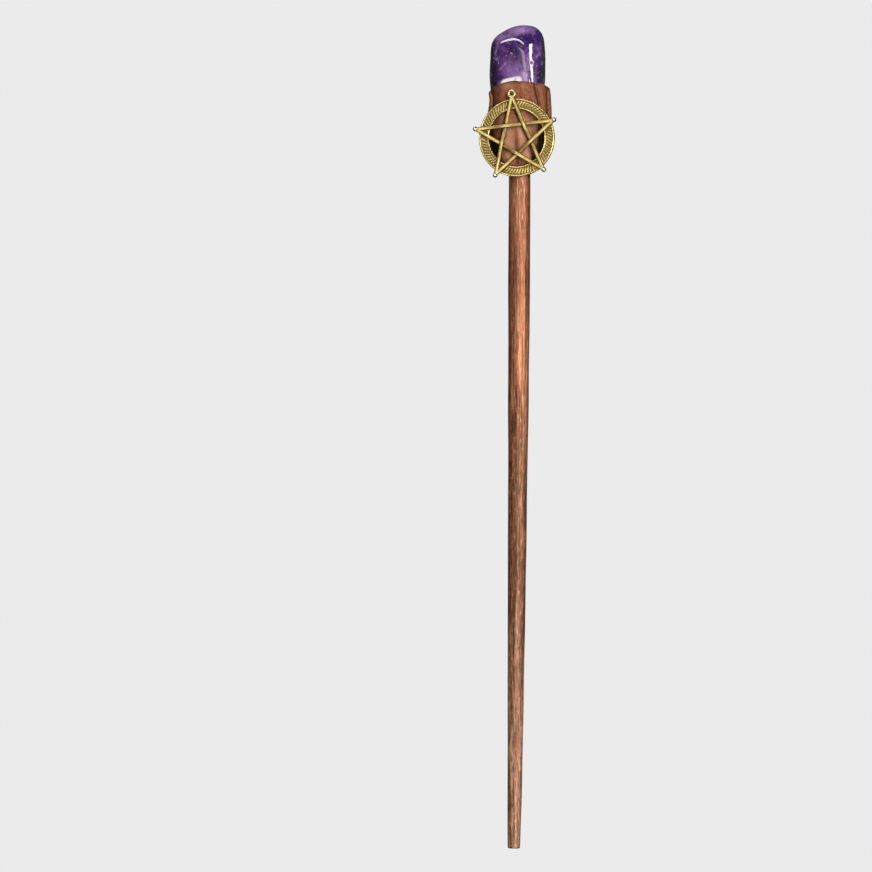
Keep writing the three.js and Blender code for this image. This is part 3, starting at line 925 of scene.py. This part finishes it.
def build_strip(index):
    """One side of the star, woven under one neighbour and over the other."""
    across, above = strip_section()
    a, k = np.meshgrid(np.linspace(-1, 1, STRIP_STEPS), np.arange(STRIP_SECTION), indexing="ij")
    across, above = across[k], above[k]
    height = STRIP_MIDDLE + across
    x = a * np.minimum(height * STAR_SLOPE + 0.1, STRIP_REACH)
    ratio = x / CROSSING
    wave = -WEAVE * ratio * np.exp((1 - ratio ** 2) / 2)
    dome = STRIP_DOME * (1 - (across / (STRIP_WIDTH / 2)) ** 2)
    z = STAR_PLANE + wave + above + np.where(above > 0, dome, 0)
    local = np.stack([x, height, z], -1)
    dents = 0.03 * value_noise(local / 1.6 + index * 9, 51)
    dents = dents + 0.012 * value_noise(local / 0.7 + index * 5, 52)
    z = z + np.where(above > 0, dents, 0)
    points = on_medallion(np.stack([x, height, z], -1).reshape(-1, 3), SPIN - index * 2 * math.pi / 5)
    faces = grid_faces(STRIP_STEPS, STRIP_SECTION, True)
    faces.append(tuple(reversed(range(STRIP_SECTION))))
    faces.append(tuple((STRIP_STEPS - 1) * STRIP_SECTION + i for i in range(STRIP_SECTION)))
    name = f"star_strip_{index + 1}"
    piece = make_piece(name + "_woven", points, faces, BRASS, [name])
    edge = np.abs(across) / (STRIP_WIDTH / 2)
    worn = np.where(above > 0, 1 - 0.9 * smoothstep(edge, 0.48, 0.82), 0.05)
    # Painted shade where the strip passes under its neighbour.
    under = np.exp(-(((np.abs(ratio) - 1) / 0.42) ** 2)) * (wave < 0)
    add_mask(piece, "worn", worn * (1 - 0.75 * under))
    return piece


def build_bead(index):
    """A small domed bead with a collar, soldered on the star's point."""
    phi = np.linspace(0, 2 * math.pi, BEAD_COLUMNS, endpoint=False)
    k, p = np.meshgrid(np.arange(len(BEAD_PROFILE)), phi, indexing="ij")
    r, h = BEAD_PROFILE[k, 0], BEAD_PROFILE[k, 1]
    points = np.stack([r * np.cos(p), BEAD_DISTANCE + r * np.sin(p), STAR_PLANE + h], -1)
    points = on_medallion(points.reshape(-1, 3), SPIN - index * 2 * math.pi / 5)
    faces = grid_faces(len(BEAD_PROFILE), BEAD_COLUMNS, True)
    faces.append(tuple(reversed(range(BEAD_COLUMNS))))
    faces.append(tuple((len(BEAD_PROFILE) - 1) * BEAD_COLUMNS + i for i in range(BEAD_COLUMNS)))
    name = f"tip_bead_{index}"
    piece = make_piece(name + "_domed", points, faces, BRASS, [name])
    subdivide(piece, 2)
    points = np.array([v.co for v in piece.data.vertices])
    depth = (RING_BACK - points[:, 1]) / MM - STAR_PLANE
    add_mask(piece, "worn", smoothstep(depth, 0.6, 0.95))
    # Painted highlight on the bead's crown.
    add_mask(piece, "polished", smoothstep(depth, 0.78, 1.0))
    return piece


def build_eye():
    """The small hanging eye on the star's top point."""
    p, t = np.meshgrid(
        np.linspace(0, 2 * math.pi, EYE_STEPS, endpoint=False),
        np.linspace(0, 2 * math.pi, EYE_SECTION, endpoint=False),
        indexing="ij",
    )
    r = EYE_RADIUS + EYE_WIRE * np.cos(t)
    points = np.stack([r * np.sin(p), EYE_DISTANCE + r * np.cos(p), STAR_PLANE + EYE_WIRE * np.sin(t)], -1)
    points = on_medallion(points.reshape(-1, 3), SPIN)
    faces = grid_faces(EYE_STEPS, EYE_SECTION, True)
    last = (EYE_STEPS - 1) * EYE_SECTION
    around = [(i, (i + 1) % EYE_SECTION) for i in range(EYE_SECTION)]
    faces += [(last + a, last + b, b, a) for a, b in around]
    piece = make_piece("hanging_eye_cast", points, faces, BRASS, ["hanging_eye"])
    add_mask(piece, "worn", smoothstep(np.sin(t), 0.1, 0.8))
    # A faint painted highlight along the front of the eye's wire.
    add_mask(piece, "polished", 0.25 * smoothstep(np.sin(t), 0.5, 1))
    return piece


def subdivide(piece, levels):
    """Bakes a subdivision surface into the piece's mesh."""
    modifier = piece.modifiers.new("smooth", "SUBSURF")
    modifier.levels = levels
    modifier.render_levels = levels
    graph = bpy.context.evaluated_depsgraph_get()
    graph.update()
    mesh = bpy.data.meshes.new_from_object(piece.evaluated_get(graph))
    piece.modifiers.clear()
    piece.data = mesh
    mesh.polygons.foreach_set("use_smooth", [True] * len(mesh.polygons))


# ---------------------------------------------------------------- stage, lights and camera

PALE = srgb(235, 235, 235)
FLOOR_DROP = 0.45
FLOOR_HALF = 1.5
FLOOR_GLOW = 0.965
AMBIENT = 0.10
CAMERA_DISTANCE = 5.0
CAMERA_WIDTH = 0.3706  # of the view, at the wand
CAMERA_AZIMUTH = 16
CAMERA_ROLL = 0.49
SENSOR_WIDTH = 36
AIM_HEIGHT = 0.175
AIM_LEFT = 0.0346


# name, azimuth, elevation, distance, width, height, power, height aimed at, what it shows as
SOFTBOXES = [
    ("key", 70, 14, 1.0, 0.115, 0.95, 6.5, 0.2, "gloss"),
    ("grain", 36, -6, 1.0, 0.22, 0.5, 8.5, 0.22, "gloss"),
    ("front", -18, 46, 1.0, 1.1, 0.24, 9.0, 0.32, "gloss"),
    ("metal", -11, 0, 1.1, 0.36, 0.5, 1.6, 0.25, "gloss"),
    ("wash", 28, 12, 1.2, 0.3, 0.7, 16.0, 0.2, "shading"),
    ("back", 196, 25, 1.2, 0.7, 0.8, 17.0, 0.2, "shading"),
]


def build_stage():
    """A pale floor well below the tip. The studio looks pale to the camera and lights the wand dimly."""
    half = FLOOR_HALF
    z = TIP - FLOOR_DROP
    corners = [(-half, -half, z), (half, -half, z), (half, half, z), (-half, half, z)]
    mesh = bpy.data.meshes.new("floor")
    mesh.from_pydata(corners, [], [(0, 1, 2, 3)])
    floor = bpy.data.objects.new("floor", mesh)
    bpy.context.scene.collection.objects.link(floor)
    n = Nodes("pale_floor")
    speckle = n.ramp(n.noise(60, 60, 60), (0.3, srgb(60, 60, 60)), (0.7, srgb(62, 62, 62)))
    pale_floor = n.finish(
        Base_Color=speckle, Roughness=1.0, Emission_Color=PALE, Emission_Strength=FLOOR_GLOW,
        Specular_IOR_Level=0.0,
    )
    mesh.materials.append(pale_floor)
    floor.visible_diffuse = False
    floor.visible_glossy = False

    world = bpy.data.worlds.new("studio")
    bpy.context.scene.world = world
    world.use_nodes = True
    tree = world.node_tree
    ambient = tree.nodes["Background"]
    ambient.inputs["Color"].default_value = (1, 1, 1, 1)
    ambient.inputs["Strength"].default_value = AMBIENT
    seen = tree.nodes.new("ShaderNodeBackground")
    seen.inputs["Color"].default_value = PALE
    paths = tree.nodes.new("ShaderNodeLightPath")
    choose = tree.nodes.new("ShaderNodeMixShader")
    tree.links.new(paths.outputs["Is Camera Ray"], choose.inputs[0])
    tree.links.new(ambient.outputs[0], choose.inputs[1])
    tree.links.new(seen.outputs[0], choose.inputs[2])
    tree.links.new(choose.outputs[0], tree.nodes["World Output"].inputs["Surface"])


def softbox(name, azimuth, elevation, distance, width, height, power, aim, shows):
    """An area light seen from the wand at an azimuth from the front towards +X, aimed at a height
    above the tip. It shows either as gloss or as plain shading."""
    target = Vector((0, 0, TIP + aim))
    place = target + Vector(unit(azimuth, elevation)) * distance
    light = bpy.data.lights.new(name, "AREA")
    light.shape = "RECTANGLE"
    light.size = width
    light.size_y = height
    light.energy = power
    holder = bpy.data.objects.new(name, light)
    holder.location = place
    holder.rotation_euler = (target - place).to_track_quat("-Z", "Y").to_euler()
    holder.visible_camera = False
    holder.visible_glossy = shows == "gloss"
    holder.visible_diffuse = shows == "shading"
    bpy.context.scene.collection.objects.link(holder)


def build_lights():
    for light in SOFTBOXES:
        softbox(*light)


def build_camera():
    """A long lens level with the wand's middle, a little to the medallion's right."""
    azimuth, roll = math.radians(CAMERA_AZIMUTH), math.radians(CAMERA_ROLL)
    right = Vector((math.cos(azimuth), math.sin(azimuth), 0))
    view = Vector((-math.sin(azimuth), math.cos(azimuth), 0))
    aim = Vector((0, 0, TIP + AIM_HEIGHT)) - right * AIM_LEFT
    data = bpy.data.cameras.new("camera")
    data.sensor_width = SENSOR_WIDTH
    data.lens = SENSOR_WIDTH * CAMERA_DISTANCE / CAMERA_WIDTH
    data.clip_end = 20
    camera = bpy.data.objects.new("camera", data)
    basis = Matrix((right, Vector((0, 0, 1)), -view)).transposed().to_4x4()
    place = Matrix.Translation(aim - view * CAMERA_DISTANCE)
    camera.matrix_world = place @ basis @ Matrix.Rotation(roll, 4, "Z")
    bpy.context.scene.collection.objects.link(camera)
    bpy.context.scene.camera = camera


# ---------------------------------------------------------------- assembly

bpy.context.scene.view_settings.view_transform = "Standard"

build_camera()
build_stage()
build_lights()

build_shaft()
stone = build_stone()
stone_tree = BVHTree.FromPolygons(
    [v.co for v in stone.data.vertices], [tuple(p.vertices) for p in stone.data.polygons]
)
for petal in PETALS:
    build_petal(petal, stone_tree)
build_ring()
for index in range(5):
    build_strip(index)
for index in range(1, 5):
    build_bead(index)
build_eye()

for node, material in (("calyx_core", CLAY), ("stone_bedding", GLUE), ("medallion_glue", GLUE)):
    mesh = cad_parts[node].data
    mesh.materials.clear()
    mesh.materials.append(material)
